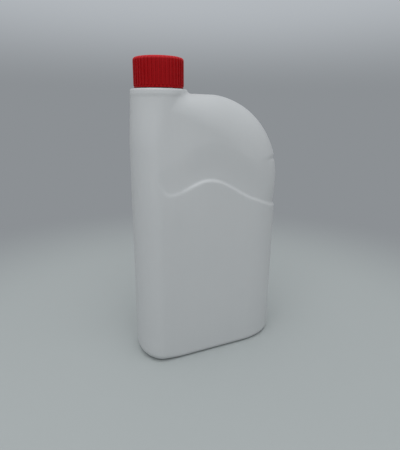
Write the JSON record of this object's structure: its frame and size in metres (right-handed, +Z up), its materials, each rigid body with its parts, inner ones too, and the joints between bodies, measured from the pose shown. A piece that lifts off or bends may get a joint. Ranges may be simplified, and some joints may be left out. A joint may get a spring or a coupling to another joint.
{
  "type": "plastic bottle",
  "caption": "Flat one litre blow-moulded plastic bottle with an offset neck, a rounded shoulder, a recessed grip on the narrow side and a ribbed screw cap.",
  "frame": {"origin": "on the table under the middle of the body's width and depth", "axes": "+X along the broad width, away from the neck; +Y from the front face to the back face; +Z up"},
  "size_m": [0.1244, 0.048, 0.2335],
  "materials": {
    "bottle_plastic": "satin white polyethylene, blow-moulded",
    "cap_plastic": "red moulded plastic, semi-gloss",
    "liner_foam": "soft white sealing foam"
  },
  "bodies": {
    "bottle": {"bottle": "bottle_plastic"},
    "liner": {"cap_liner": "liner_foam"},
    "cap": {"cap": "cap_plastic"}
  },
  "joints": [
    {"name": "liner_lift", "type": "slide", "parent": "bottle", "child": "liner", "axis": [0, 0, 1], "range_m": [0, 0.008]},
    {"name": "cap_turn", "type": "hinge", "parent": "liner", "child": "cap", "pos_m": [-0.04, 0, 0.232], "axis": [0, 0, 1], "range_deg": [0, 720.5]}
  ],
  "couplings": [
    {"joint": "cap_turn", "follows": "liner_lift", "rad_per_m": 1570.8}
  ]
}
